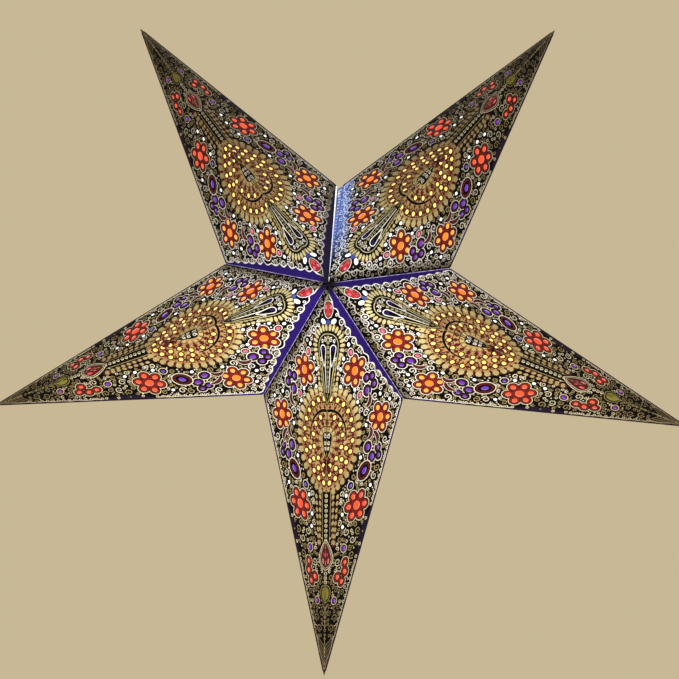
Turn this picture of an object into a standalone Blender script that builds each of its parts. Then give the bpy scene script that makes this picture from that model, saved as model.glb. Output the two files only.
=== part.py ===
"""A five-pointed folding paper star lantern with a small lamp inside, hanging point up.

Metres, +Z up. The front of the star faces -Y. The origin is the centre of the hanging eyelet.
Each point of the star is one card sheet folded into four triangular panels. Neighbouring points are
glued together along flaps that stand inside the valleys, and the two end flaps close the open seam
at the top.
"""

import math

import bmesh
import bpy
from mathutils import Matrix, Vector
from mathutils.geometry import tessellate_polygon

# The star's driving sizes
TIP_RADIUS = 0.320
VALLEY_RADIUS = 0.105
HALF_DEPTH = 0.095
SEAM_ANGLE = math.radians(3.0)
POINTS = 5

# The card and its creases
CARD = 0.0006
FIT_GAP = 0.0003
RIDGE_INSET = 0.0010
VALLEY_INSET = 0.0008
EDGE_INSET = 0.0008
BACK_VALLEY_INSET = 0.0022

# Glue flaps inside the valleys, and the flaps of the open seam
FLAP_DEPTH = 0.009
SEAM_FLAP_DEPTH = 0.014
FLAP_APEX_RADIUS = 0.010
FLAP_CORNER_CLEAR = 0.006

# Light windows cut through each panel
ROSETTE_WINDOW = 0.0034
MEDALLION_WINDOW = 0.0024
WINDOW_SIDES = 6

# The hanger plate in the seam, with its eye and its closing pads
PLATE_CARD = 0.0008
PLATE_HALF_WIDTH = 0.011
PLATE_NECK = 0.007
PLATE_CREST = 0.005
PLATE_SLOPE = 0.008
PLATE_HEIGHT = 0.040
PLATE_DROP = 0.006
EYELET_BORE = 0.0025
EYELET_WALL = 0.0004
EYELET_FLANGE = 0.0042
EYELET_LIP = 0.0004
EYELET_EDGE = 0.0052
PAD_LENGTH = 0.006
PAD_HEIGHT = 0.007
PAD_DROP = 0.019
PAD_DEPTH = 0.0062

# The E14 lampholder and its round bulb
HOLDER_RADIUS = 0.014
HOLDER_WALL = 0.0016
HOLDER_HEIGHT = 0.038
CAP_HEIGHT = 0.017
PLATE_BITE = 0.007
RING_RADIUS = 0.019
RING_HEIGHT = 0.006
SHELL_BORE = 0.0069
SHELL_WALL = 0.0005
SHELL_HEIGHT = 0.019
SCREW_CAP_RADIUS = 0.0066
SCREW_CAP_HEIGHT = 0.019
GLOBE_RADIUS = 0.0225
GLOBE_WALL = 0.0008
NECK_RADIUS = 0.0075
NECK_HEIGHT = 0.012
NECK_LAP = 0.006
COLUMN_RADIUS = 0.0030
COLUMN_HEIGHT = 0.040
CONTACT_RADIUS = 0.0035
CONTACT_HEIGHT = 0.0015
CORE_HEIGHT = 0.010
RING_DROP = 0.012
LATHE_STEPS = 24
GLOBE_STEPS = 9

# The origin is the centre of the eyelet, and the plate stands a little below the seam's outer corners.
PLATE_TOP = VALLEY_RADIUS - PLATE_DROP
EYELET_CENTRE = PLATE_TOP - EYELET_EDGE
STAR_CENTRE = Vector((0, 0, -EYELET_CENTRE))

HALF_ANGLE = (2 * math.pi - SEAM_ANGLE) / (2 * POINTS)
POINT_NAMES = ("bottom", "right", "upper_right", "upper_left", "left")


def clear_scene():
    for obj in list(bpy.data.objects):
        bpy.data.objects.remove(obj)


def material(name, colour, roughness, metallic=0.0):
    made = bpy.data.materials.new(name)
    made.use_nodes = True
    made.diffuse_color = (*colour, 1.0)
    shader = made.node_tree.nodes["Principled BSDF"]
    shader.inputs["Base Color"].default_value = (*colour, 1.0)
    shader.inputs["Roughness"].default_value = roughness
    shader.inputs["Metallic"].default_value = metallic
    return made


def polar(radius, angle, depth=0.0):
    """A point at this radius and this angle from straight down, turning towards +X, and this far in front."""
    return Vector((radius * math.sin(angle), -depth, -radius * math.cos(angle)))


def add_object(name, mesh, matrix, surface, parent=None):
    obj = bpy.data.objects.new(name, mesh)
    bpy.context.scene.collection.objects.link(obj)
    obj.data.materials.clear()
    obj.data.materials.append(surface)
    obj.matrix_world = matrix
    if parent is not None:
        obj.parent = parent
        obj.matrix_parent_inverse = parent.matrix_world.inverted()
    return obj


def add_empty(name, place):
    empty = bpy.data.objects.new(name, None)
    bpy.context.scene.collection.objects.link(empty)
    empty.location = place
    bpy.context.view_layer.update()
    return empty


def plate_mesh(name, outline, holes, thickness):
    """A flat plate about the local XY plane, its outline and holes given as lists of 2D points."""
    rings = [outline, *holes]
    flat = [Vector((x, y, 0)) for ring in rings for x, y in ring]
    triangles = tessellate_polygon([[Vector((x, y, 0)) for x, y in ring] for ring in rings])
    bm = bmesh.new()
    half = Vector((0, 0, thickness / 2))
    top = [bm.verts.new(point + half) for point in flat]
    bottom = [bm.verts.new(point - half) for point in flat]
    for a, b, c in triangles:
        bm.faces.new((top[a], top[b], top[c]))
        bm.faces.new((bottom[c], bottom[b], bottom[a]))
    start = 0
    for ring in rings:
        count = len(ring)
        for i in range(count):
            a = start + i
            b = start + (i + 1) % count
            bm.faces.new((top[a], top[b], bottom[b], bottom[a]))
        start += count
    bmesh.ops.recalc_face_normals(bm, faces=bm.faces)
    mesh = bpy.data.meshes.new(name)
    bm.to_mesh(mesh)
    bm.free()
    return mesh


def turned_mesh(name, profile, steps=LATHE_STEPS):
    """A solid turned about Z from a closed profile of (radius, height) points."""
    bm = bmesh.new()
    rings = []
    for radius, height in profile:
        if radius == 0:
            rings.append([bm.verts.new((0, 0, height))])
            continue
        turn = [2 * math.pi * i / steps for i in range(steps)]
        rings.append([bm.verts.new((radius * math.cos(a), radius * math.sin(a), height)) for a in turn])
    for low, high in zip(rings, rings[1:] + rings[:1]):
        if len(low) == 1 and len(high) == 1:
            continue
        for i in range(steps):
            j = (i + 1) % steps
            corners = [low[i % len(low)], low[j % len(low)], high[j % len(high)], high[i % len(high)]]
            bm.faces.new(list(dict.fromkeys(corners)))
    bmesh.ops.recalc_face_normals(bm, faces=bm.faces)
    mesh = bpy.data.meshes.new(name)
    bm.to_mesh(mesh)
    bm.free()
    mesh.shade_smooth()
    mesh.set_sharp_from_angle(angle=math.radians(35))
    return mesh


def inset_triangle(corners, insets):
    """The triangle moved in from each side, where insets[i] is for the side from corner i to the next."""
    lines = []
    centre = sum(corners, Vector((0, 0))) / 3
    for i, inset in enumerate(insets):
        start = corners[i]
        along = (corners[(i + 1) % 3] - start).normalized()
        normal = Vector((-along.y, along.x))
        if normal.dot(centre - start) < 0:
            normal = -normal
        lines.append((start + normal * inset, along))
    return [line_crossing(lines[i - 1], lines[i]) for i in range(3)]


def line_crossing(first, second):
    (p, d), (q, e) = first, second
    share = ((q.x - p.x) * e.y - (q.y - p.y) * e.x) / (d.x * e.y - d.y * e.x)
    return p + d * share


# The panel's outline: the ridge runs from the apex at the local origin along +X to the tip.
RIDGE_LENGTH = math.hypot(TIP_RADIUS, HALF_DEPTH)
VALLEY_LENGTH = math.hypot(VALLEY_RADIUS, HALF_DEPTH)
SIDE_LENGTH = (polar(TIP_RADIUS, 0) - polar(VALLEY_RADIUS, HALF_ANGLE)).length
APEX_COSINE = (RIDGE_LENGTH**2 + VALLEY_LENGTH**2 - SIDE_LENGTH**2) / (2 * RIDGE_LENGTH * VALLEY_LENGTH)
VALLEY_CORNER = VALLEY_LENGTH * Vector((APEX_COSINE, math.sqrt(1 - APEX_COSINE**2)))

# Windows, as shares of the ridge's length and of the valley corner's height over it
ROSETTE_SHARES = (
    (0.226, 0.354), (0.272, 0.547), (0.362, 0.72), (0.457, 0.60), (0.574, 0.387), (0.726, 0.248),
)
MEDALLION_CENTRE_SHARE = 0.383
MEDALLION_RADIUS_SHARES = (0.118, 0.37)
MEDALLION_WINDOWS = 7


def window(x, y, radius):
    turns = [2 * math.pi * i / WINDOW_SIDES for i in range(WINDOW_SIDES)]
    return [(x + radius * math.cos(a), y + radius * math.sin(a)) for a in turns]


def panel_windows(mirror):
    found = []
    for along, up in ROSETTE_SHARES:
        found.append(window(along * RIDGE_LENGTH, up * VALLEY_CORNER.y, ROSETTE_WINDOW))
    along_radius = MEDALLION_RADIUS_SHARES[0] * RIDGE_LENGTH
    up_radius = MEDALLION_RADIUS_SHARES[1] * VALLEY_CORNER.y
    for i in range(MEDALLION_WINDOWS):
        angle = math.pi * (i + 0.5) / MEDALLION_WINDOWS
        x = MEDALLION_CENTRE_SHARE * RIDGE_LENGTH + along_radius * math.cos(angle)
        found.append(window(x, up_radius * math.sin(angle), MEDALLION_WINDOW))
    return [[(x, mirror * y) for x, y in ring] for ring in found]


def panel_mesh(name, mirror, valley_inset):
    corners = [Vector((0, 0)), Vector((RIDGE_LENGTH, 0)), VALLEY_CORNER]
    outline = inset_triangle(corners, (RIDGE_INSET, EDGE_INSET, valley_inset))
    outline = [(point.x, mirror * point.y) for point in outline]
    return plate_mesh(name, outline, panel_windows(mirror), CARD)


def panel_matrix(apex, tip, valley, mirror):
    """Places a panel: local X runs along the ridge, and local Y points to the valley, or away from it."""
    along = (tip - apex).normalized()
    up = valley - apex
    up = (up - along * up.dot(along)).normalized() * mirror
    across = along.cross(up)
    rows = Matrix((along, up, across)).transposed().to_4x4()
    return Matrix.Translation(apex + STAR_CENTRE) @ rows


def valley_angle(index, side):
    """The angle of the valley beside a point: side is +1 towards +X from the bottom point, or -1 towards -X."""
    return point_angle(index) + side * HALF_ANGLE


def point_angle(index):
    """Points are counted from the bottom towards +X, and the seam lies between the third and the fourth."""
    turns = index if index <= POINTS // 2 else index - POINTS
    return turns * 2 * HALF_ANGLE


def half_name(side):
    return "right" if side > 0 else "left"


def body_name(index, side, face):
    return f"{POINT_NAMES[index]}_point_{face}_{half_name(side)}"


def make_panels(card):
    """The four panels of each point. Left and right are told at the bottom point, and turn with the star."""
    meshes = {}
    for mirror in (1, -1):
        meshes["front", mirror] = panel_mesh("front_panel", mirror, VALLEY_INSET)
        meshes["back", mirror] = panel_mesh("back_panel", mirror, BACK_VALLEY_INSET)
    for index in range(POINTS):
        tip = polar(TIP_RADIUS, point_angle(index))
        for side in (-1, 1):
            valley = polar(VALLEY_RADIUS, valley_angle(index, side))
            for face, depth in (("front", HALF_DEPTH), ("back", -HALF_DEPTH)):
                apex = polar(0, 0, depth)
                mirror = side if face == "front" else -side
                name = body_name(index, side, face)
                pivot = add_empty("fold_" + name, (apex if face == "front" else tip) + STAR_CENTRE)
                matrix = panel_matrix(apex, tip, valley, mirror)
                add_object(name, meshes[face, mirror], matrix, card, pivot)


def flap_outline(depth, corner_clear, least_radius):
    """A flap in its radial plane, as (radius, depth in front) points, its outer edge along the valley crease.

    It keeps this least radius from the star's axis, so that flaps on either side of the seam stay apart.
    """
    apex = Vector((0, HALF_DEPTH))
    corner = Vector((VALLEY_RADIUS, 0))
    along = (apex - corner).normalized()
    inward = Vector((-along.y, along.x))
    if inward.dot(corner) > 0:
        inward = -inward
    outer = inward * FIT_GAP
    inner = inward * (outer.length + depth)
    level = (Vector((0, FIT_GAP)), Vector((1, 0)))
    start = corner + along * corner_clear
    end = apex + along * (least_radius - inner.x) / along.x
    first = start + outer
    last = line_crossing((corner + inner, along), level)
    return [first, end + outer, end + inner, last, Vector((first.x, FIT_GAP))]


def flap_matrix(angle, face):
    """Places a flap's plane at this angle round the star. Local X is the radius, and local Y the depth."""
    outward = polar(1, angle)
    front = Vector((0, -1 if face == "front" else 1, 0))
    across = outward.cross(front)
    rows = Matrix((outward, front, across)).transposed().to_4x4()
    return Matrix.Translation(STAR_CENTRE) @ rows


def make_valley_flaps(card):
    """One glued pair of flaps in each closed valley, on the front and on the back."""
    outline = [tuple(p) for p in flap_outline(FLAP_DEPTH, FLAP_CORNER_CLEAR, FLAP_APEX_RADIUS)]
    mesh = plate_mesh("valley_flap", outline, [], 2 * CARD)
    valleys = (("lower_right", 0, 1), ("upper_right", 1, 1), ("upper_left", 4, -1), ("lower_left", 0, -1))
    for name, index, side in valleys:
        for face in ("front", "back"):
            pivot = bpy.data.objects["fold_" + body_name(index, side, face)]
            matrix = flap_matrix(valley_angle(index, side), face)
            add_object(f"valley_flap_{name}_{face}", mesh, matrix, card, pivot)


def make_seam_flaps(card):
    """The end flaps, glued on the valley creases beside the seam, narrow down to where the seam closes."""
    least_radius = (CARD + FIT_GAP) / 2 / math.sin(SEAM_ANGLE / 2)
    outline = [tuple(p) for p in flap_outline(SEAM_FLAP_DEPTH, FLAP_CORNER_CLEAR, least_radius)]
    mesh = plate_mesh("seam_flap", outline, [], CARD)
    for index, side in ((2, 1), (3, -1)):
        for face in ("front", "back"):
            pivot = bpy.data.objects["fold_" + body_name(index, side, face)]
            matrix = flap_matrix(valley_angle(index, side), face)
            add_object(f"seam_flap_{half_name(side)}_{face}", mesh, matrix, card, pivot)


def make_closing_pads(pad_material):
    """Hook-and-loop pads between the hanger plate and the seam flaps, each glued to its flap."""
    slope = math.tan(SEAM_ANGLE / 2)
    inner = PLATE_CARD / 2 + FIT_GAP
    height = VALLEY_RADIUS - PAD_DROP
    for index, side in ((2, 1), (3, -1)):
        for face, front in (("front", -1), ("back", 1)):
            bm = bmesh.new()
            bmesh.ops.create_cube(bm, size=1)
            for vert in bm.verts:
                z = vert.co.z * PAD_HEIGHT
                outer = (height + z) * slope - CARD / 2 - FIT_GAP
                vert.co = Vector((outer if vert.co.x > 0 else inner, vert.co.y * PAD_LENGTH, z))
            if side < 0:
                bmesh.ops.scale(bm, vec=(-1, 1, 1), verts=bm.verts)
                bmesh.ops.reverse_faces(bm, faces=bm.faces)
            name = f"closing_pad_{half_name(side)}_{face}"
            mesh = bpy.data.meshes.new(name)
            bm.to_mesh(mesh)
            bm.free()
            pivot = bpy.data.objects["fold_" + body_name(index, side, face)]
            place = STAR_CENTRE + Vector((0, front * PAD_DEPTH, height))
            add_object(name, mesh, Matrix.Translation(place), pad_material, pivot)


def circle_points(radius, count, centre=(0, 0)):
    turns = [2 * math.pi * i / count for i in range(count)]
    return [(centre[0] + radius * math.cos(a), centre[1] + radius * math.sin(a)) for a in turns]


PLATE_BOTTOM = PLATE_TOP - PLATE_HEIGHT
CAP_TOP = PLATE_BOTTOM + PLATE_BITE
SKIRT_TOP = CAP_TOP - CAP_HEIGHT - FIT_GAP
SKIRT_LOW = SKIRT_TOP - HOLDER_HEIGHT
SHELL_TOP = SKIRT_TOP - CORE_HEIGHT - FIT_GAP
BULB_TOP = SHELL_TOP - CONTACT_HEIGHT - FIT_GAP


def make_hanger(plastic, brass):
    """The hanger plate stands in the seam with its face across X, and an eyelet lines its top hole."""
    shoulder = PLATE_BOTTOM + PLATE_HEIGHT / 2
    right = [
        (PLATE_NECK, PLATE_BOTTOM),
        (PLATE_NECK, shoulder - PLATE_NECK),
        (PLATE_HALF_WIDTH, shoulder),
        (PLATE_HALF_WIDTH, PLATE_TOP - PLATE_SLOPE),
        (PLATE_CREST, PLATE_TOP),
    ]
    outline = right + [(-y, z) for y, z in reversed(right)]
    hole = circle_points(EYELET_BORE + EYELET_WALL + FIT_GAP, LATHE_STEPS, (0, EYELET_CENTRE))
    mesh = plate_mesh("hanger_plate", outline, [hole], PLATE_CARD)
    upright = Matrix(((0, 0, 1), (1, 0, 0), (0, 1, 0))).to_4x4()
    add_object("hanger_plate", mesh, Matrix.Translation(STAR_CENTRE) @ upright, plastic)
    inside = PLATE_CARD / 2 + FIT_GAP
    outside = inside + EYELET_LIP
    barrel = EYELET_BORE + EYELET_WALL
    profile = [
        (EYELET_BORE, -outside),
        (EYELET_FLANGE, -outside),
        (EYELET_FLANGE, -inside),
        (barrel, -inside),
        (barrel, inside),
        (EYELET_FLANGE, inside),
        (EYELET_FLANGE, outside),
        (EYELET_BORE, outside),
    ]
    mesh = turned_mesh("hanging_eyelet", profile)
    sideways = Matrix.Rotation(math.pi / 2, 4, "Y")
    add_object("hanging_eyelet", mesh, sideways, brass)


def lathe_object(name, profile, top, surface, parent=None):
    """A turned piece on the lamp's axis: its profile runs down from this height over the star's centre."""
    mesh = turned_mesh(name, [(radius, -down) for radius, down in profile])
    return add_object(name, mesh, Matrix.Translation(STAR_CENTRE + Vector((0, 0, top))), surface, parent)


def make_lampholder(plastic, brass, ceramic):
    """The cap grips the hanger plate in a slot. The skirt, the ring and the socket hang below it."""
    wall = HOLDER_WALL
    bore = HOLDER_RADIUS - wall
    crown = PLATE_NECK + wall
    ceiling = PLATE_BITE + 2 * wall
    cap = lathe_object(
        "lampholder_cap",
        [
            (0, 0),
            (crown, 0),
            (HOLDER_RADIUS, CAP_HEIGHT - crown),
            (HOLDER_RADIUS, CAP_HEIGHT),
            (bore, CAP_HEIGHT),
            (bore, ceiling),
            (0, ceiling),
        ],
        CAP_TOP,
        plastic,
    )
    bpy.ops.mesh.primitive_cube_add(size=1)
    cutter = bpy.context.object
    cutter.name = "cap_slot_cutter"
    cutter.hide_render = True
    cutter.display_type = "WIRE"
    cutter.scale = (PLATE_CARD + 2 * FIT_GAP, 2 * (PLATE_NECK + FIT_GAP), 2 * (PLATE_BITE + FIT_GAP))
    cutter.location = STAR_CENTRE + Vector((0, 0, CAP_TOP))
    slot = cap.modifiers.new("plate_slot", "BOOLEAN")
    slot.object = cutter
    lathe_object(
        "lampholder_skirt",
        [(bore, 0), (HOLDER_RADIUS, 0), (HOLDER_RADIUS, HOLDER_HEIGHT), (bore, HOLDER_HEIGHT)],
        SKIRT_TOP,
        plastic,
    )
    ring_bore = HOLDER_RADIUS + FIT_GAP
    lathe_object(
        "shade_ring",
        [
            (ring_bore, 0),
            (HOLDER_RADIUS + wall, 0),
            (RING_RADIUS, RING_HEIGHT - wall),
            (RING_RADIUS, RING_HEIGHT),
            (ring_bore, RING_HEIGHT),
        ],
        SKIRT_LOW + RING_DROP,
        plastic,
    )
    core = bore - FIT_GAP
    lathe_object("socket_core", disc_profile(core, CORE_HEIGHT), SKIRT_TOP, ceramic)
    shell_out = SHELL_BORE + SHELL_WALL
    lathe_object(
        "socket_thread_shell",
        [(SHELL_BORE, 0), (shell_out, 0), (shell_out, SHELL_HEIGHT), (SHELL_BORE, SHELL_HEIGHT)],
        SHELL_TOP,
        brass,
    )
    lathe_object("socket_centre_contact", disc_profile(CONTACT_RADIUS, CONTACT_HEIGHT), SHELL_TOP, brass)


def disc_profile(radius, height):
    return [(0, 0), (radius, 0), (radius, height), (0, height)]


def globe_arc(radius, centre, neck):
    """Points from the neck round to the pole of a globe whose centre lies this far down."""
    start = math.asin(neck / radius)
    turns = [start + (math.pi - start) * i / GLOBE_STEPS for i in range(GLOBE_STEPS)]
    arc = [(radius * math.sin(a), centre - radius * math.cos(a)) for a in turns]
    return arc + [(0, centre + radius)]


def make_bulb(metal, glass, glow):
    """The bulb is turned in its own nodes. The contact slides with it and the rest also turns."""
    slide = add_empty("bulb_slide", STAR_CENTRE + Vector((0, 0, BULB_TOP)))
    turn = add_empty("bulb_turn", STAR_CENTRE + Vector((0, 0, BULB_TOP)))
    turn.parent = slide
    turn.matrix_parent_inverse = slide.matrix_world.inverted()
    lathe_object("bulb_end_contact", disc_profile(CONTACT_RADIUS, CONTACT_HEIGHT), BULB_TOP, metal, slide)
    cap_top = BULB_TOP - CONTACT_HEIGHT - FIT_GAP
    inner = SCREW_CAP_RADIUS - SHELL_WALL
    flare = SHELL_WALL + CONTACT_HEIGHT
    lathe_object(
        "bulb_screw_cap",
        [
            (0, 0),
            (CONTACT_RADIUS, 0),
            (SCREW_CAP_RADIUS, flare),
            (SCREW_CAP_RADIUS, SCREW_CAP_HEIGHT),
            (inner, SCREW_CAP_HEIGHT),
            (inner, flare + SHELL_WALL),
            (CONTACT_RADIUS, SHELL_WALL),
            (0, SHELL_WALL),
        ],
        cap_top,
        metal,
        turn,
    )
    sleeve = inner - FIT_GAP
    sleeve_inner = sleeve - GLOBE_WALL
    sleeve_low = NECK_LAP + FIT_GAP
    neck_top = cap_top - SCREW_CAP_HEIGHT + NECK_LAP
    globe_centre = NECK_LAP + NECK_HEIGHT + math.sqrt(GLOBE_RADIUS**2 - NECK_RADIUS**2)
    outer = globe_arc(GLOBE_RADIUS, globe_centre, NECK_RADIUS)
    hollow = globe_arc(GLOBE_RADIUS - GLOBE_WALL, globe_centre, NECK_RADIUS - GLOBE_WALL)
    inside = [*hollow[::-1], (sleeve_inner, sleeve_low), (sleeve_inner, 0)]
    profile = [(sleeve, 0), (sleeve, sleeve_low), *outer, *inside]
    lathe_object("bulb_globe", profile, neck_top, glass, turn)
    stem = sleeve_inner - FIT_GAP
    stem_height = SCREW_CAP_HEIGHT / 2
    lathe_object(
        "bulb_light_column",
        [
            (0, 0),
            (stem, 0),
            (stem, stem_height),
            (COLUMN_RADIUS, stem_height + flare),
            (COLUMN_RADIUS, COLUMN_HEIGHT),
            (0, COLUMN_HEIGHT),
        ],
        cap_top - CONTACT_HEIGHT - stem_height,
        glow,
        turn,
    )


def main():
    clear_scene()
    card = material("printed_card", (0.10, 0.05, 0.22), 0.7)
    flap = material("plain_card", (0.09, 0.05, 0.25), 0.75)
    pad = material("hook_and_loop", (0.85, 0.85, 0.82), 0.95)
    plastic = material("white_plastic", (0.88, 0.87, 0.83), 0.4)
    brass = material("brass", (0.72, 0.55, 0.27), 0.3, 1.0)
    metal = material("nickel_cap", (0.65, 0.66, 0.68), 0.3, 1.0)
    ceramic = material("ceramic", (0.80, 0.78, 0.74), 0.6)
    glass = material("frosted_glass", (0.95, 0.93, 0.88), 0.25)
    glow = material("light_column", (1.0, 0.86, 0.55), 0.4)
    make_panels(card)
    make_valley_flaps(flap)
    make_seam_flaps(flap)
    make_closing_pads(pad)
    make_hanger(plastic, brass)
    make_lampholder(plastic, brass, ceramic)
    make_bulb(metal, glass, glow)


main()
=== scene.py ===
"""The paper star lantern's looks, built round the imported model.

Each of the twenty card panels is one printed sheet. Its print is drawn once for half a point, as flat
shapes laid over one another, and cut into faces. Where it is pierced, real holes have tissue behind them.
"""
import functools
import random
from math import cos, hypot, pi, radians, sin, sqrt

import bmesh
import bpy
import numpy as np
from mathutils import Matrix, Vector
from mathutils.geometry import delaunay_2d_cdt


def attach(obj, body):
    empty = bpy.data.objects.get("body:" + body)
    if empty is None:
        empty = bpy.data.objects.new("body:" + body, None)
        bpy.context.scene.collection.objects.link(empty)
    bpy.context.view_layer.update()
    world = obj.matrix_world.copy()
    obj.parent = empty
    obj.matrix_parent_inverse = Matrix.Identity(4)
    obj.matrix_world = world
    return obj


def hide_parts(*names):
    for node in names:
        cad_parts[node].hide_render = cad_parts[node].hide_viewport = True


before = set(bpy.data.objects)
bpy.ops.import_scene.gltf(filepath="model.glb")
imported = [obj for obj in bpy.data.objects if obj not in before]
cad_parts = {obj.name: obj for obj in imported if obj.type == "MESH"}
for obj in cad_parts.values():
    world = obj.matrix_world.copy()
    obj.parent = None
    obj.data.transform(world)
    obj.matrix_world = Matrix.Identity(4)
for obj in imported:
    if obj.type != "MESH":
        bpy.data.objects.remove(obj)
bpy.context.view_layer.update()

MM = 0.001

# The star's driving sizes, as the part has them
TIP_RADIUS = 0.320
VALLEY_RADIUS = 0.105
HALF_DEPTH = 0.095
SEAM_ANGLE = radians(3.0)
POINTS = 5
STAR_CENTRE = Vector((0, 0, -0.0938))
HALF_ANGLE = (2 * pi - SEAM_ANGLE) / (2 * POINTS)
POINT_NAMES = ("bottom", "right", "upper_right", "upper_left", "left")

# The printed sheets, in millimetres
SHEET_CARD = 0.4
RIDGE_INSET = 0.10
EDGE_INSET = 0.20
VALLEY_INSET = 0.26
TISSUE_GAP = 0.06
TISSUE_THICKNESS = 0.10
TISSUE_OVERLAP = 0.55
TISSUE_RIDGE_GAP = 0.9
CUT_TOLERANCE = 0.001
BACK_TOLERANCE = 1e-5
SLIVER = 0.0002

# The creases, the open seam and the shades beside them, in metres or as shares of a line
RIDGE_FOLD_RADIUS = 0.00027
VALLEY_FOLD_RADIUS = 0.00042
EDGE_FOLD_RADIUS = 0.00040
CREASE_END = 0.0010
CREASE_CAP = 0.45
CREASE_SIDES = 8
EDGE_FOLD_END = 0.0045
LIP_SHARE = 0.60
LIP_START = 0.06
LIP_END = 0.985
LIP_CURLS = 26
SEAM_SIDES = (("upper_right", "right"), ("upper_left", "left"))
FLAP_SHADE_REACH = 0.0115
SEAM_SHEEN_REACH = 0.014
SEAM_SHEEN_START = 0.022
SEAM_SHEEN_FADE = 0.034
SEAM_LINE_RADIUS = 0.00075
SEAM_LINE_START = 0.09
SEAM_LINE_TAPER = 0.20
APEX_SHADE_START = 0.004
APEX_SHADE_END = 0.012
APEX_DOT_RADIUS = 0.0013
APEX_DOT_DEPTH = 0.0008
# Painted shade: the two upper points' inks are dimmed to this share, less so beside the apex.
UPPER_LIGHT = 0.50
APEX_LIGHT = 0.85
APEX_LIGHT_REACH = 0.5

# The print, in millimetres or as shares of a line
PRINT_SEED = 11
SCROLL_WIND = 0.80
SCROLL_TURN = radians(470)
SCROLL_TAPER = 0.40
EDGE_WAVE = 0.7
STRIP_WIDTH = 6.3
STRIP_FULL_FROM = 0.12
STRIP_NARROWS_FROM = 0.48
STRIP_NARROWING_REACH = 0.52
PETALS = 6
PETAL_SHARE = 0.9
LOBES = 12
LOBES_START = 0.05
LOBES_REACH = 0.93
LOBE_DEPTH = 3.4
LOBE_RING_DEPTH = 3.3
MEDALLION_CENTRE = 129.5
MEDALLION_LONG = 44.5
MEDALLION_SHORT = 37.0
LEAF_CENTRE = 52
# Filler motifs: the kind, the radius, how many tries and the width of a line
FILIGREE = (
    ("scroll", 3.9, 900, 1.15),
    ("scroll", 3.0, 2600, 1.0),
    ("leaf", 2.2, 4200, 1.15),
    ("ring", 1.5, 5200, 0.0),
    ("pearl", 1.0, 8000, 0.0),
)


def polar(radius, angle, depth=0.0):
    """A point at this radius, at this angle from straight down towards +X, and this far in front."""
    return Vector((radius * sin(angle), -depth, -radius * cos(angle)))


RIDGE = hypot(TIP_RADIUS, HALF_DEPTH) / MM
VALLEY = hypot(VALLEY_RADIUS, HALF_DEPTH) / MM
SIDE = (polar(TIP_RADIUS, 0) - polar(VALLEY_RADIUS, HALF_ANGLE)).length / MM
APEX_COSINE = (RIDGE**2 + VALLEY**2 - SIDE**2) / (2 * RIDGE * VALLEY)
CORNER = VALLEY * Vector((APEX_COSINE, sqrt(1 - APEX_COSINE**2)))


# Flat shapes, in millimetres on a half point: x runs along the ridge from the apex, and y away from it

def round_angles(count, shift=0.0):
    return [2 * pi * (i + shift) / count for i in range(count)]


def about(x, y, radius, angle):
    return x + radius * cos(angle), y + radius * sin(angle)


def turned(x, y, turn, u, v):
    """Where the point u, v goes when it is turned and then moved by x, y."""
    return x + u * cos(turn) - v * sin(turn), y + u * sin(turn) + v * cos(turn)


def oval(x, y, long, short, turn=0.0, sides=10):
    return [turned(x, y, turn, long * cos(a), short * sin(a)) for a in round_angles(sides)]


def disc(x, y, radius, sides=10):
    return oval(x, y, radius, radius, 0.0, sides)


def drop(x, y, length, width, turn=0.0, sides=18):
    """A teardrop with its round end about x, y and its point this far along the turn's direction."""
    points = []
    for a in round_angles(sides):
        u = -width * cos(a)
        v = width * sin(a)
        if u > 0:
            v *= 0.25 + 0.75 * sqrt(max(0.0, 1 - u / width))
            u *= length / width
        points.append(turned(x, y, turn, u, v))
    return points


def stroke(points, widths):
    """A ribbon of varying width along a line of points."""
    left = []
    right = []
    for i, (x, y) in enumerate(points):
        before = points[max(i - 1, 0)]
        after = points[min(i + 1, len(points) - 1)]
        dx = after[0] - before[0]
        dy = after[1] - before[1]
        size = hypot(dx, dy) or 1.0
        half = widths[i] / 2
        left.append((x - dy / size * half, y + dx / size * half))
        right.append((x + dy / size * half, y - dx / size * half))
    return left + right[::-1]


def scroll(x, y, radius, turn, hand, width, steps=11):
    """A curl that winds in from its rim, thick at the rim and fine at its eye."""
    points = []
    widths = []
    for i in range(steps):
        share = i / (steps - 1)
        points.append(about(x, y, radius * (1 - SCROLL_WIND * share), turn + hand * share * SCROLL_TURN))
        widths.append(width * (1 - SCROLL_TAPER * share))
    return stroke(points, widths)


def arc(x, y, radius, start, end, width, steps=9):
    """A crescent: a bent stroke that is widest at its middle."""
    points = []
    widths = []
    for i in range(steps):
        share = i / (steps - 1)
        points.append(about(x, y, radius, start + (end - start) * share))
        widths.append(width * (0.35 + 0.65 * sin(pi * share)))
    return stroke(points, widths)


def anticlockwise(points):
    """The same outline, turned to run anticlockwise, as the cutting needs."""
    twice_area = 0.0
    for (ax, ay), (bx, by) in zip(points, points[1:] + points[:1]):
        twice_area += ax * by - bx * ay
    return points if twice_area > 0 else points[::-1]


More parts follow.
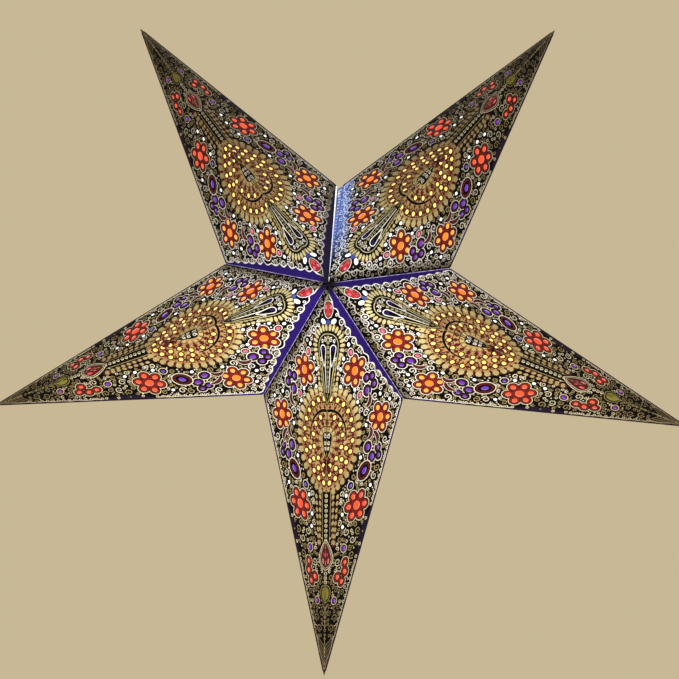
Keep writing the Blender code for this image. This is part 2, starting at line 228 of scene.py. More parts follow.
class Print:
    """The shapes of one half point in the order they are laid down, and the places they take."""

    def __init__(self, plain_strip):
        self.plain_strip = plain_strip
        self.shapes = []
        self.taken = []
        self.dice = random.Random(PRINT_SEED)

    def lay(self, points, ink):
        self.shapes.append((anticlockwise(points), ink))

    def window(self, points, tissue):
        self.lay(points, "window_" + tissue)

    def nest(self, shape, x, y, turn, sides, layers):
        """Ovals or drops about one place, each over the one before: their two sizes and their ink."""
        for long, short, ink in layers:
            self.lay(shape(x, y, long, short, turn, sides), ink)

    def bead(self, x, y, radius, hole, ink):
        self.lay(disc(x, y, radius, 8), ink)
        self.lay(disc(x, y, hole, 6), "ground")

    def scrolls(self, places):
        """Small pale curls: the centre, the radius, the turn and the hand of each."""
        for place in places:
            self.lay(scroll(*place, 0.8), "cream")

    def keep(self, x, y, long, short=None):
        """Keeps this oval clear of filigree."""
        self.taken.append((x, y, long, short or long))

    def free(self, x, y, radius):
        for cx, cy, long, short in self.taken:
            if ((x - cx) / (long + radius)) ** 2 + ((y - cy) / (short + radius)) ** 2 < 1:
                return False
        return True


TANGENT = CORNER / VALLEY
INWARD = Vector((TANGENT.y, -TANGENT.x))
EDGE_ALONG = Vector((RIDGE - CORNER.x, -CORNER.y)).normalized()
EDGE_INWARD = Vector((EDGE_ALONG.y, -EDGE_ALONG.x))


def by_valley(share, depth):
    """A place this share of the way along the valley, and this far in from it."""
    return tuple(TANGENT * (VALLEY * share) + INWARD * depth)


def by_edge(share, depth):
    return tuple(CORNER + EDGE_ALONG * (SIDE * share) + EDGE_INWARD * depth)


def edge_distances(x, y):
    """How far a place lies inside the valley, and inside the silhouette edge."""
    place = Vector((x, y))
    return place.dot(INWARD), (place - CORNER).dot(EDGE_INWARD)


def strip_depth(share):
    """The width of the plain strip beside the valley: even at first, and narrow at the corner."""
    late = max(0.0, share - STRIP_NARROWS_FROM)
    early = max(0.0, STRIP_FULL_FROM - share)
    return STRIP_WIDTH - 4.8 * late / STRIP_NARROWING_REACH - 2.4 * early / STRIP_FULL_FROM


def petals(art, places, tissue, rim_ink="rust", core=None, core_tissue=None):
    """Lit petals, each in a coloured rim, on one dark ground with a pale scalloped edge."""
    for ink, rim in (("cream", 3.3), ("ground", 2.5), (rim_ink, 1.7)):
        for x, y, long, short, turn in places:
            art.lay(oval(x, y, long + rim, short + rim, turn, 12), ink)
    if core:
        x, y, long, short, turn = core
        art.lay(disc(x, y, long + 3.6, 14), "rust")
        for (px, py, *_), (qx, qy, *_) in zip(places, places[1:] + places[:1]):
            middle_x = x + ((px + qx) / 2 - x) * 0.86
            middle_y = y + ((py + qy) / 2 - y) * 0.86
            art.lay(disc(middle_x, middle_y, 1.15, 6), "maroon")
        art.lay(oval(x, y, long + 1.1, short + 1.1, turn, 12), "maroon")
        art.window(oval(x, y, long, short, turn, 12), core_tissue)
    for x, y, long, short, turn in places:
        art.lay(oval(x, y, long + 0.6, short + 0.6, turn), "maroon")
        art.window(oval(x, y, long * PETAL_SHARE, short * PETAL_SHARE, turn), tissue)
        art.keep(x, y, long + 3.0, short + 3.0)


def rosette(art, x, y, radius, petal, core, tissue, core_tissue, turn):
    places = []
    for angle in round_angles(PETALS):
        places.append((*about(x, y, radius, turn + angle), petal * 1.08, petal * 0.94, turn + angle))
    art.keep(x, y, radius)
    petals(art, places, tissue, "rust", (x, y, core, core * 0.94, 0.0), core_tissue)


# The medallion's inked cells: the share of its radius, how many, their shift, size, stretch and ink
MEDALLION_CELLS = (
    (1.04, 38, 0, 1.5, 1.2, "maroon"),
    (0.93, 38, 0, 1.3, 1.3, "maroon"),
    (0.8, 24, 0, 2.2, 1.1, "maroon"),
    (0.7, 30, 0, 0.6, 4.2, "ground"),
    (0.7, 30, 0.5, 1.1, 1.2, "rust"),
    (0.645, 26, 0.5, 1.7, 1.1, "maroon"),
    (0.49, 13, 0, 2.3, 1.1, "maroon"),
    (0.355, 15, 0.5, 2.3, 1.4, "maroon"),
    (0.57, 20, 0.5, 1.5, 1.3, "khaki"),
    (0.245, 13, 0, 0.5, 4.2, "ground"),
    (0.235, 13, 0.5, 1.3, 1.6, "khaki"),
)
# The dark rings between them, as shares of its radius
MEDALLION_LINES = (0.875, 0.735, 0.415, 0.29)
# Its lit cells: the share of its radius, how many, their size, and the last half turns that they reach
MEDALLION_WINDOWS = (
    (0.8, 24, 2.1, 1),
    (0.635, 18, 2.05, 0.47),
    (0.48, 13, 2, 1),
)


def medallion(art):
    """Rings of lit cells and inked ones on a dark ground, half of them on each side of the ridge."""
    centre = MEDALLION_CENTRE

    def at(share, angle):
        narrow = 1 - 0.16 * max(0, cos(angle)) ** 2
        x = centre + MEDALLION_LONG * share * cos(angle)
        return x, MEDALLION_SHORT * share * sin(angle) * narrow

    def ring(share, count, shift, size, stretch, ink, sides=4):
        """Inked cells that stand along the radius, mostly with four sides."""
        for angle in round_angles(count, shift):
            x, y = at(share, angle)
            if y > -size:
                art.lay(oval(x, y, size * stretch, size, angle, sides), ink)

    def line(share, start, end, width):
        """A dark arc between two angles, given in half turns from the tip."""
        points = [at(share, pi * (start + (end - start) * i / 16)) for i in range(17)]
        art.lay(stroke(points, [width * (0.5 + 0.5 * i / 16) for i in range(17)]), "ground")

    art.lay([at(1.085, angle) for angle in round_angles(44)], "ground")
    art.keep(centre, 0, MEDALLION_LONG * 1.07, MEDALLION_SHORT * 1.06)
    ring(1, 38, 0.5, 2.8, 1.15, "khaki", 8)
    art.lay([at(0.945, angle) for angle in round_angles(44)], "tan")
    for share in MEDALLION_LINES:
        line(share, 0, 1, 0.8)
    for cells in MEDALLION_CELLS:
        ring(*cells)
    line(0.585, 0.46, 1, 2.6)
    for share, count, size, reach in MEDALLION_WINDOWS:
        for angle in round_angles(count, 0.5):
            x, y = at(share, angle)
            if y < size * 1.4 or angle > pi * reach:
                continue
            art.lay(oval(x, y, size * 1.66, size * 1.52, angle), "ground")
            art.lay(oval(x, y, size * 1.38, size * 1.26, angle), "rust")
            art.window(oval(x, y, size, size * 0.88, angle), "yellow")
    art.lay(drop(centre - 3, 0, 17, 5.6), "ground")
    art.scrolls(((125, 2.2, 2.1, 2.6, 1), (130.5, 2, 1.7, 0.6, -1), (135.5, 1.5, 1.4, 2.2, 1)))
    art.lay(oval(centre + 18, 0, 3, 2.4, 0, 4), "ground")
    art.lay(oval(centre + 24, 2.4, 4.2, 1.9, 0.15, 8), "maroon")
    art.lay(stroke([(centre - 25, 0), (centre + 34, 0)], [0.9, 0.9]), "ground")


def apex_motifs(art):
    """A red bud, a white bow with a blue pearl, and a long dark leaf that points down the ridge."""
    art.nest(oval, 21, 0, 0, 10, ((7.6, 5.6, "cream"), (6.9, 4.9, "ground"), (6.2, 4.2, "crimson")))
    # Painted highlights: the bud's pale pink window and rose spot.
    art.window(oval(19, 2.4, 1.7, 1.2, 0, 8), "pink")
    art.lay(oval(24.5, 1.5, 1.1, 0.8, 0, 6), "rose")
    art.keep(21, 0, 7.8, 5.8)
    art.lay(oval(31.2, 6.3, 4.4, 4.9, 0.3), "ground")
    art.window(oval(31.2, 6, 2.3, 3.1, 0.3), "white")
    art.nest(oval, 31.2, 0, 0, 10, ((3, 3, "ground"), (2.2, 2.2, "blue")))
    art.keep(31.2, 3.5, 4.4, 8.2)
    for i in range(11):
        a = pi * (0.2 + 0.76 * i / 10)
        art.lay(oval(LEAF_CENTRE + 16.6 * cos(a), 16.2 * sin(a), 3, 1.55, a, 8), "khaki")
        a -= pi * 0.038
        art.lay(oval(LEAF_CENTRE + 18.6 * cos(a), 18.4 * sin(a), 1.2, 1.2, a, 4), "maroon")
    leaf = ((48, 13.2, "ground"), (46, 11.8, "gold"), (44.6, 11, "ground"))
    art.nest(drop, LEAF_CENTRE, 0, 0, 30, leaf)
    for lane, ink in ((2.9, "cream"), (7.4, "khaki")):
        line = [(60, lane), (67, lane * 0.92), (76, lane * 0.7), (83, lane * 0.52), (89, lane * 0.4)]
        art.lay(stroke(line, [0.4, 0.9, 0.8, 0.6, 0.4]), ink)
    art.keep(LEAF_CENTRE, 0, 19.5, 18)
    art.keep(80, 0, 22, 11)
    art.lay(drop(53.5, 5.6, 15, 3.7, -0.1, 16), "cream")
    art.lay(drop(53.5, 5.6, 13, 2.8, -0.1, 14), "ground")
    art.lay(oval(53.5, 5.7, 2.2, 1.3, -0.1, 8), "indigo")
    art.scrolls(((45.6, 3.2, 2.1, 2.6, 1), (46.9, 7, 1.7, 0.4, -1), (62.5, 8.3, 1.6, 2.4, 1)))
    for i in range(13):
        art.bead(43.5 + 4.0 * i, 0, 1.4 - 0.05 * i, 0.7, "khaki")
    for i in range(8):
        x = 62 + 4.2 * i
        art.lay(oval(x, 13.2 - 0.62 * i, 2, 1.5, -0.15, 6), "khaki")
        art.lay(oval(x + 2.1, 12.6 - 0.62 * i, 1.1, 1.3, 0, 4), "maroon")
        art.lay(oval(x, 9.4 - 0.55 * i, 1.7, 0.9, -0.15, 6), "gold")


def stem_motifs(art):
    """A stem of pearls below the medallion, in columns of khaki cells and red squares."""
    art.lay(stroke([(172, 0), (216, 0)], [10.8, 8.8]), "gold")
    art.lay(stroke([(172, 0), (216, 0)], [9.4, 7.4]), "ground")
    art.keep(194, 0, 24, 5.2)
    for i in range(10):
        art.bead(175 + 4.3 * i, 0, 1.6, 0.7, "cream")
    for i in range(8):
        for y, lean in ((7.6, 0), (12.8 - 0.5 * i, 0.4)):
            x = 178 + 5.6 * i
            art.lay(oval(x + 2.5 * lean, y, 2.1, 1.6, -0.2, 8), "khaki")
            art.keep(x + 2.5 * lean, y, 2.4, 1.8)
            art.lay(oval(x + 2.8 + 2.5 * lean, y, 1.3, 1.6, 0, 4), "maroon")
            art.keep(x + 2.8 + 2.5 * lean, y, 1.3, 1.6)


def tip_motifs(art):
    """A dark red drop, an olive seed and rows of small chevrons that narrow to the tip."""
    for grown, ink in ((2.6, "cream"), (1.6, "ground"), (0.6, "cream"), (0, "maroon")):
        art.lay(drop(231, 0, 15.5 + grown, 6.2 + grown, pi, 20), ink)
    art.window(oval(232, 2.6, 2.6, 1.1, -0.1, 8), "red")
    art.lay(oval(226, 1.6, 1.8, 0.7, -0.1, 6), "rose")
    art.keep(226, 0, 13.5, 9)
    for grown, ink in ((2, "gold"), (1.2, "ground"), (0, "olive")):
        art.lay(oval(260.5, 0, 6.0 + grown, 4.2 + grown, 0, 14), ink)
    art.lay(stroke([(255.5, 0), (265.5, 0)], [0.8, 0.8]), "ground")
    art.keep(260.5, 0, 8.4, 6.4)
    for i in range(3):
        art.bead(242.5 + 3.8 * i, 0, 1.8, 0.8, "cream")
    art.keep(246, 0, 6, 3)
    for i in range(7):
        x = 304 + 3.6 * i
        half = (RIDGE - x) * CORNER.y / (RIDGE - CORNER.x)
        line = [(x + 3, 0.4), (x + 0.5, half * 0.36), (x - 3.2, half * 0.8)]
        art.lay(stroke(line, [1.3, 1, 0.7]), "gold")
        art.lay(oval(x + 0.5, 0, 1, 0.8, 0, 6), "cream")
    art.keep(318, 0, 18, 12)
    for i in range(8):
        art.bead(273 + 3.9 * i, 0, 1.7 - 0.06 * i, 0.7, "gold")
        art.keep(273 + 3.9 * i, 0, 1.6)


# Whole flowers: the centre, the ring's radius, the petals' and the core's size, both tissues and the turn
ROSETTES = (
    (75, 30.5, 9.3, 2.55, 3.9, "orange", "amber", 0.1),
    (120, 62, 9.3, 2.55, 4, "orange", "amber", 0.35),
    (192, 35, 9.4, 2.75, 4.1, "red_orange", "red_orange", 0.45),
)
# Loose petals: the centre, the two half lengths and the turn of each
HALF_FLOWER = (
    (239, 22.2, 2.2, 1.8, 0), (247, 22, 2.6, 2.1, 0.3),
    (249.5, 13.5, 2.5, 2, 0), (255, 18.5, 2.3, 1.8, 0),
)
VIOLET = (
    (83, 44.5, 2.1, 1.9, 0), (82.5, 51, 2.1, 1.8, 0),
    (89.5, 53.5, 2.1, 1.9, 0), (94, 45.5, 3, 2.5, 0),
)
BERRIES = (
    (143.5, 47.5, 3, 2.4, 0), (153, 52.5, 3, 2.4, 0),
    (146.5, 59.8, 2, 1.7, 0), (153.5, 60.8, 2, 1.6, 0),
)
# Dark red crescents: the centre, the radius, and the angles where each starts and ends
CRESCENTS = ((101.5, 43, 6.4, 0.1, 2.2), (139.5, 50.5, 9, 1.2, 2.7), (131, 46, 5.6, 0.2, 2.4))
WHITE_DOTS = (
    (52, 23), (63, 17.5), (71.5, 14.5), (86, 14.5), (91, 31), (102, 34.5), (99.5, 61.5),
    (124, 45), (151, 39), (180.5, 22.8), (178, 51.5), (196, 18.5), (207, 19), (106, 73.5),
)


def clusters(art):
    """The flowers and leaves between the medallion and the edges."""
    for flower in ROSETTES:
        rosette(art, *flower)
    petals(art, HALF_FLOWER, "red_orange")
    petals(art, VIOLET, "purple", "night")
    petals(art, BERRIES, "purple", "night")
    for grown, ink in ((5.4, "cream"), (4.4, "ground"), (3.4, "maroon"), (1.6, "ground")):
        art.lay(oval(163.5, 43.5, 4.6 + grown, 2.4 + grown, -0.75, 14), ink)
    art.window(oval(163.5, 43.5, 3.4, 2.3, -0.75), "purple")
    art.keep(163.5, 43.5, 9, 7.6)
    for x, y, turn in ((59, 25.5, 0.4), (96.5, 37, -0.5)):
        art.nest(oval, x, y, turn, 10, ((4.3, 3.5, "cream"), (3.5, 2.8, "maroon"), (2.2, 1.6, "window_pink")))
        art.keep(x, y, 4.2, 3.4)
    art.nest(oval, 173, 27.5, 0, 12, ((4.2, 4.2, "cream"), (3.4, 3.4, "ground")))
    art.window(disc(173, 27.5, 1.7, 8), "purple")
    art.keep(173, 27.5, 4)
    for x, y, size in ((226, 20.5, 2.3), (269.5, 10.2, 2)):
        art.lay(oval(x, y, size + 2.2, size + 1.5, 0.5), "cream")
        art.lay(oval(x, y, size + 1.3, size + 0.7, 0.5), "maroon")
        art.window(oval(x, y, size, size * 0.7, 0.5), "purple")
        art.keep(x, y, size + 2)
    for x, y, radius, start, end in CRESCENTS:
        for grown, width, ink in ((0.16, 5, "cream"), (0.08, 3.8, "ground"), (0, 2.6, "maroon")):
            art.lay(arc(x, y, radius, start - grown, end + grown, width, 11), ink)
        art.keep(*about(x, y, radius, (start + end) / 2), 3.6)
    for x, y in WHITE_DOTS:
        art.lay(disc(x, y, 2.5, 8), "ground")
        art.window(oval(x, y, 1.9, 1.6, 0.4, 8), "white")
        art.keep(x, y, 2.5)


# Dark bands along the edge: where each starts and ends, its depth and its ink
EDGE_SHADES = ((0.2, 0.37, 1, "night"), (0.61, 0.97, 1, "night"), (0, 0.21, 1.7, "indigo"))


def edge_shadow(art):
    """A dark sliver beside the silhouette edge, where the lace pulls back from it."""
    shares = [0.36 + 0.26 * i / 12 for i in range(13)]
    inner = [by_edge(share, 0.8 + 5.4 * sin(pi * i / 12) ** 1.5) for i, share in enumerate(shares)]
    art.lay([by_edge(shares[0], -1), by_edge(shares[-1], -1)] + inner[::-1], "night")
    for start, end, depth, ink in EDGE_SHADES:
        art.lay([by_edge(start, -1), by_edge(end, -1), by_edge(end, depth), by_edge(start, depth)], ink)
    for share in (0.42, 0.465, 0.51, 0.555):
        art.keep(*by_edge(share, 1.5), 4.4)


# Rings beside the valley: the share of its length and the distance in from it
LACE_RINGS = (
    (0.3, 11.4), (0.385, 11), (0.47, 10.8), (0.555, 10.2),
    (0.64, 9.4), (0.72, 8), (0.8, 6.6), (0.88, 5.4),
)
EDGE_PEARLS = 40


def lace_rings(art):
    """Rings along the valley and small pearls along the silhouette edge."""
    for place in LACE_RINGS:
        x, y = by_valley(*place)
        if not art.free(x, y, 2.6):
            continue
        art.lay(disc(x, y, 3.5, 12), "cream")
        art.lay(disc(x, y, 2.6, 10), "ground")
        art.lay(disc(x, y, 1.3, 8), "cream")
        art.keep(x, y, 3.3)
    for i in range(EDGE_PEARLS):
        x, y = by_edge((i + 0.5) / EDGE_PEARLS * 0.82 + 0.01, 3)
        if art.free(x, y, 0.9):
            art.bead(x, y, 1.5, 0.7, "cream")
            art.keep(x, y, 1.4)


def filigree(art):
    """Scrolls, leaves, rings and pearls of falling size, packed into all the ground that is still free."""
    dice = art.dice
    for kind, radius, tries, width in FILIGREE:
        for _ in range(tries):
            x = dice.uniform(6, RIDGE - 24)
            y = dice.uniform(radius * 0.9, CORNER.y)
            ink = "cream" if dice.random() < 0.66 - 0.42 * x / RIDGE else "gold"
            turn = dice.uniform(0, 2 * pi)
            hand = dice.choice((-1, 1))
            from_valley, from_edge = edge_distances(x, y)
            share = x / CORNER.x
            strip = strip_depth(share) + lobe_depth(share) if share < 1 else 0
            least = radius + (strip + 1.6 if art.plain_strip else 0.6)
            if from_valley < least or from_edge < radius + 1.4 or not art.free(x, y, radius * 0.93):
                continue
            art.keep(x, y, radius)
            if kind == "scroll":
                art.lay(scroll(x, y, radius * 0.98, turn, hand, width), ink)
            elif kind == "leaf":
                art.lay(arc(x, y, radius * 0.86, turn, turn + 3.9, width), ink)
                art.lay(disc(x, y, radius * 0.33, 6), ink)
            elif kind == "ring":
                art.bead(x, y, radius, radius * 0.5, ink)
            else:
                art.lay(oval(x, y, radius * 0.95, radius * 0.75, turn, 6), ink)


def lobe_depth(share):
    """How far the lace's edge draws back from the plain strip: most between two lobes, not at all on one."""
    place = (share - LOBES_START) / LOBES_REACH
    turn = LOBES * place
    ends = max(0, min(1, 8 * place, 8 * (1 - place)))
    return LOBE_DEPTH * ends * (0.8 + 0.3 * sin(1.9 * turn)) * (1 - abs(sin(pi * turn)))


def scallops(art):
    """A pale loop with a ring or a scroll in it in each lobe of lace beside the plain strip."""
    for i in range(LOBES):
        share = LOBES_START + LOBES_REACH * (i + 0.5) / LOBES
        size = 3.2 - 1.1 * share
        x, y = by_valley(share, strip_depth(share) + LOBE_RING_DEPTH)
        if not art.free(x, y, size * 0.8):
            continue
        art.lay(disc(x, y, size, 12), "cream")
        art.lay(disc(x, y, size - 0.8, 12), "ground")
        core = disc(x, y, 0.8, 8) if i % 3 else scroll(x, y, size - 1.2, 1.3 * i, 1, 0.6, 8)
        art.lay(core, "gold")
        art.keep(x, y, size + 0.2)


@functools.cache
def draw_print(plain_strip):
    """One half point's print. The half that the strip borders has it plain, and the other has lace there."""
    art = Print(plain_strip)
    art.lay([(0, 0), (RIDGE, 0), tuple(CORNER)], "indigo" if plain_strip else "ground")
    steps = 6 * LOBES
    for grown, ink in ((0, "cream"), (1, "ground")):
        rim = []
        for i in range(steps + 1):
            share = LOBES_START + LOBES_REACH * i / steps
            rim.append(by_valley(share, strip_depth(share) + lobe_depth(share) + grown))
        edge = [by_edge(0.02 + 0.95 * i / 30, 1.2 + grown + EDGE_WAVE * (i % 2)) for i in range(31)]
        art.lay([(5 + grown, -1), *rim, *edge, (RIDGE - 8, -1)], ink)
    for motifs in (medallion, apex_motifs, stem_motifs, tip_motifs, clusters, edge_shadow):
        motifs(art)
    if plain_strip:
        scallops(art)
    lace_rings(art)
    filigree(art)
    return art.shapes


# From shapes to solid sheets

def inset_outline():
    """The panel's outline moved in from the ridge, the silhouette edge and the valley."""
    corners = [Vector((0, 0)), Vector((RIDGE, 0)), CORNER.copy()]
    lines = []
    for i, inset in enumerate((RIDGE_INSET, EDGE_INSET, VALLEY_INSET)):
        along = (corners[(i + 1) % 3] - corners[i]).normalized()
        lines.append((corners[i] + Vector((-along.y, along.x)) * inset, along))
    found = []
    for (p, d), (q, e) in zip(lines[-1:] + lines, lines):
        share = ((q.x - p.x) * e.y - (q.y - p.y) * e.x) / (d.x * e.y - d.y * e.x)
        found.append(tuple(p + d * share))
    return found


def inside(start, end, x, y):
    """Whether a place has an odd number of the sides from start to end beside it."""
    crossed = (start[:, 1] > y) != (end[:, 1] > y)
    start_x, start_y = start[crossed].T
    end_x, end_y = end[crossed].T
    return np.count_nonzero(x < start_x + (end_x - start_x) * (y - start_y) / (end_y - start_y)) % 2 == 1


def whole_windows(shapes, outline):
    """Windows that reach past the outline are left as plain print."""
    start = np.array(outline)
    end = np.roll(start, 1, axis=0)
    kept = []
    for points, ink in shapes:
        if ink.startswith("window_"):
            held = all(inside(start, end, x, y - 0.5) and inside(start, end, x, y) for x, y in points)
            ink = ink if held else "cream"
        kept.append((points, ink))
    return kept


def partition(shapes, outline):
    """Cuts the plane along every shape's outline. Yields the points, and triangles with the topmost ink."""
    rings = [anticlockwise(outline)] + [points for points, _ in shapes]
    inks = [None] + [ink for _, ink in shapes]
    points = []
    faces = []
    for ring in rings:
        faces.append(list(range(len(points), len(points) + len(ring))))
        points += [Vector(p) for p in ring]
    found = delaunay_2d_cdt(points, [], faces, 1, CUT_TOLERANCE, True)
    places = [tuple(p) for p in found[0]]
    triangles = []
    for corners, owners in zip(found[2], found[5]):
        if 0 in owners and len(owners) > 1:
            triangles.append((list(corners), inks[max(owners)]))
    return places, triangles


def made_mesh(name, bm):
    bm.normal_update()
    mesh = bpy.data.meshes.new(name)
    bm.to_mesh(mesh)
    bm.free()
    return mesh


def new_face(bm, verts, ink):
    """Adds a face in an ink, unless there is one on these points already."""
    try:
        face = bm.faces.new(verts)
    except ValueError:
        return
    face.material_index = INKS.index(ink)


def sheet_mesh(name, shapes, mirror, outline):
    """One printed sheet: the print on its outer face, plain card on its inner face, and walls between."""
    places, triangles = partition(whole_windows(shapes, outline), outline)
    bm = bmesh.new()
    half = SHEET_CARD / 2
    top = {}
    for corners, ink in triangles:
        if ink.startswith("window_"):
            continue
        for c in corners:
            if c not in top:
                x, y = places[c]
                top[c] = bm.verts.new((x * MM, mirror * y * MM, half * MM))
        new_face(bm, [top[c] for c in corners[::mirror]], ink)
    rim = [edge for edge in bm.edges if len(edge.link_faces) == 1]
    low = {}
    for edge in rim:
        for vert in edge.verts:
            if vert not in low:
                low[vert] = bm.verts.new(vert.co - Vector((0, 0, 2 * half * MM)))
    order = list(low)
    where = {vert: i for i, vert in enumerate(order)}
    flat = [Vector((vert.co.x / MM, vert.co.y / MM)) for vert in order]
    edges = [(where[edge.verts[0]], where[edge.verts[1]]) for edge in rim]
    back = delaunay_2d_cdt(flat, edges, [], 0, BACK_TOLERANCE, True)
    sources = [ids[0] for ids in back[3]]
    start = np.array([flat[i] for i, _ in edges])
    end = np.array([flat[j] for _, j in edges])
    for corners in back[2]:
        first, second, third = (back[0][c] for c in corners)
        if abs((second - first).cross(third - first)) < SLIVER:
            continue
        if inside(start, end, *((first + second + third) / 3)):
            new_face(bm, [low[order[sources[c]]] for c in corners][::-1], "inside")
    for edge in rim:
        a, b = edge.verts
        if edge.link_loops[0].vert is not a:
            a, b = b, a
        x, y, _ = (a.co + b.co) / 2 / MM
        from_valley, from_edge = edge_distances(x, abs(y))
        outer = min(from_valley - VALLEY_INSET, from_edge - EDGE_INSET, abs(y) - RIDGE_INSET) < 0.01
        new_face(bm, (b, a, low[a], low[b]), "night" if outer else "inside")
    return made_mesh(name, bm)


def tissue_mesh(name, shapes, mirror, outline):
    """A small patch of coloured tissue behind each window, a little larger than its hole."""
    bm = bmesh.new()
    top_z = -(SHEET_CARD / 2 + TISSUE_GAP)
    for points, ink in whole_windows(shapes, outline):
        if not ink.startswith("window_"):
            continue
        cx = sum(x for x, _ in points) / len(points)
        cy = sum(y for _, y in points) / len(points)
        ring = []
        for x, y in points:
            size = hypot(x - cx, y - cy)
            grown = (size + TISSUE_OVERLAP) / size
            ring.append((cx + (x - cx) * grown, max(TISSUE_RIDGE_GAP, cy + (y - cy) * grown)))
        if mirror < 0:
            ring = [(x, -y) for x, y in ring][::-1]
        upper = [bm.verts.new((x * MM, y * MM, top_z * MM)) for x, y in ring]
        lower = [bm.verts.new((x * MM, y * MM, (top_z - TISSUE_THICKNESS) * MM)) for x, y in ring]
        faces = [bm.faces.new(upper), bm.faces.new(lower[::-1])]
        for i in range(len(ring)):
            j = (i + 1) % len(ring)
            faces.append(bm.faces.new((upper[j], upper[i], lower[i], lower[j])))
        for face in faces:
            face.material_index = TISSUES.index(ink[len("window_"):])
    return made_mesh(name, bm)


# Materials

def new_material(name):
    material = bpy.data.materials.new(name)
    material.use_nodes = True
    tree = material.node_tree
    return material, tree, tree.nodes["Principled BSDF"]


def feed(tree, node, inputs):
    """Gives each named input of a node its value, or links another node's output to it."""
    for name, value in inputs.items():
        if isinstance(value, bpy.types.NodeSocket):
            tree.links.new(value, node.inputs[name])
        else:
            node.inputs[name].default_value = value


def add(tree, kind, output, inputs, **settings):
    """Adds a node with its settings and inputs, and gives one of its outputs."""
    node = tree.nodes.new("ShaderNode" + kind)
    for setting, value in settings.items():
        setattr(node, setting, value)
    feed(tree, node, inputs)
    return node.outputs[output]


def object_place(tree):
    return add(tree, "TexCoord", "Object", {})


def noise(tree, where, scale, detail=3.0, roughness=0.6):
    sizes = {"Scale": scale, "Detail": detail, "Roughness": roughness}
    return add(tree, "TexNoise", "Fac", {"Vector": where, **sizes})


def ramp(tree, value, stops):
    node = tree.nodes.new("ShaderNodeValToRGB")
    elements = node.color_ramp.elements
    while len(elements) < len(stops):
        elements.new(0.5)
    for element, (place, colour) in zip(elements, stops):
        element.position = place
        element.color = (*colour, 1)
    feed(tree, node, {"Fac": value})
    return node.outputs["Color"]


def grey_ramp(tree, value, stops):
    return ramp(tree, value, [(place, (grey,) * 3) for place, grey in stops])


def between(tree, value, low, high):
    """From 0 where a value is low to 1 where it is high, and no further."""
    return add(tree, "MapRange", "Result", {"Value": value, "From Min": low, "From Max": high})


def mix(tree, kind, first, second, amount=1.0):
    inputs = {"Factor": amount, "A": first, "B": second}
    return add(tree, "Mix", "Result", inputs, data_type="RGBA", blend_type=kind)


def bump(tree, height, strength, distance):
    return add(tree, "Bump", "Normal", {"Strength": strength, "Distance": distance, "Height": height})


def srgb(red, green, blue):
    """A colour as it is seen on screen, of 0 to 255, in the shader's own linear values."""
    def linear(value):
        value /= 255
        return value / 12.92 if value <= 0.04045 else ((value + 0.055) / 1.055) ** 2.4
    return linear(red), linear(green), linear(blue)


def dimmed(colour, light):
    return tuple(light * value for value in srgb(*colour))


def light_at(place, light):
    """A dimmer point's light at this share of its ridge: nearer to full beside the apex."""
    return light + (1 - light) * APEX_LIGHT * max(0.0, 1 - place / APEX_LIGHT_REACH)


def along_ridge(tree, where):
    """The distance from the apex along the ridge, in metres and as a share of the whole."""
    along = add(tree, "SeparateXYZ", "X", {0: where})
    return along, between(tree, along, 0.0, RIDGE * MM)


def distance_from_valley(tree, where, hand, reach):
    """From 0 at the valley to 1 at this reach, on panels of one hand. It is 1 on the other hand."""
    inward = add(
        tree, "VectorMath", "Value", {0: where, 1: (INWARD.x, hand * INWARD.y, 0)}, operation="DOT_PRODUCT",
    )
    return between(tree, inward, 0.0, reach)


def flap_shade(tree, where):
    """Dims the print beside a valley, where a glued flap behind it keeps the lamp's light away."""
    near = distance_from_valley(tree, where, -1, FLAP_SHADE_REACH)
    return ramp(tree, near, [(0.0, (0.15, 0.13, 0.11)), (0.5, (0.38, 0.34, 0.29)), (1.0, (1.0,) * 3)])


def cold_sheen(tree, where, along):
    """How much bluish lamplight grazes the print beside the open seam, out towards its corner."""
    near = grey_ramp(
        tree, distance_from_valley(tree, where, 1, SEAM_SHEEN_REACH),
        [(0.0, 1.0), (0.55, 0.7), (1.0, 0.0)],
    )
    out = between(tree, along, SEAM_SHEEN_START, SEAM_SHEEN_START + SEAM_SHEEN_FADE)
    return add(tree, "Math", 0, {0: near, 1: out}, operation="MULTIPLY")


def ink_material(name, stops, mottle=0.25, roughness=0.55, specular=0.15, glow=0.0, sheen=None, light=1.0):
    """Screen-printed ink on card, with the card's fibre below. Its tone darkens from the apex to the tip as
    painted lamp falloff;
    its glow is painted lamplight through the card, and the flap's shade and the seam's sheen are painted too.
    """
    material, tree, shader = new_material(name)
    where = object_place(tree)
    along, share = along_ridge(tree, where)
    tone = ramp(tree, share, [(place, dimmed(colour, light_at(place, light))) for place, colour in stops])
    grain = grey_ramp(tree, noise(tree, where, 900.0), [(0.30, 1 - mottle), (0.70, 1.0)])
    cloud = grey_ramp(tree, noise(tree, where, 70.0, 2.0), [(0.30, 1 - mottle), (0.75, 1.0)])
    # The tone's darkening towards the tip is painted lamp falloff; the grain and the cloud are the card's own
    # mottle.
    mottled_tone_and_falloff = mix(tree, "MULTIPLY", mix(tree, "MULTIPLY", tone, grain), cloud)
    colour = mix(tree, "MULTIPLY", mottled_tone_and_falloff, flap_shade(tree, where))
    if sheen:
        cold = ramp(tree, share, [(0.0, srgb(*sheen)), (1.0, srgb(*sheen))])
        colour = mix(tree, "MIX", colour, cold, cold_sheen(tree, where, along))
    relief = bump(tree, noise(tree, where, 2600.0, 4.0), 0.25, 0.00008)
    lit = {"Emission Color": colour, "Emission Strength": glow} if glow else {}
    lit.update({"Roughness": roughness, "Specular IOR Level": specular})
    feed(tree, shader, {"Base Color": colour, "Normal": relief, **lit})
    return material


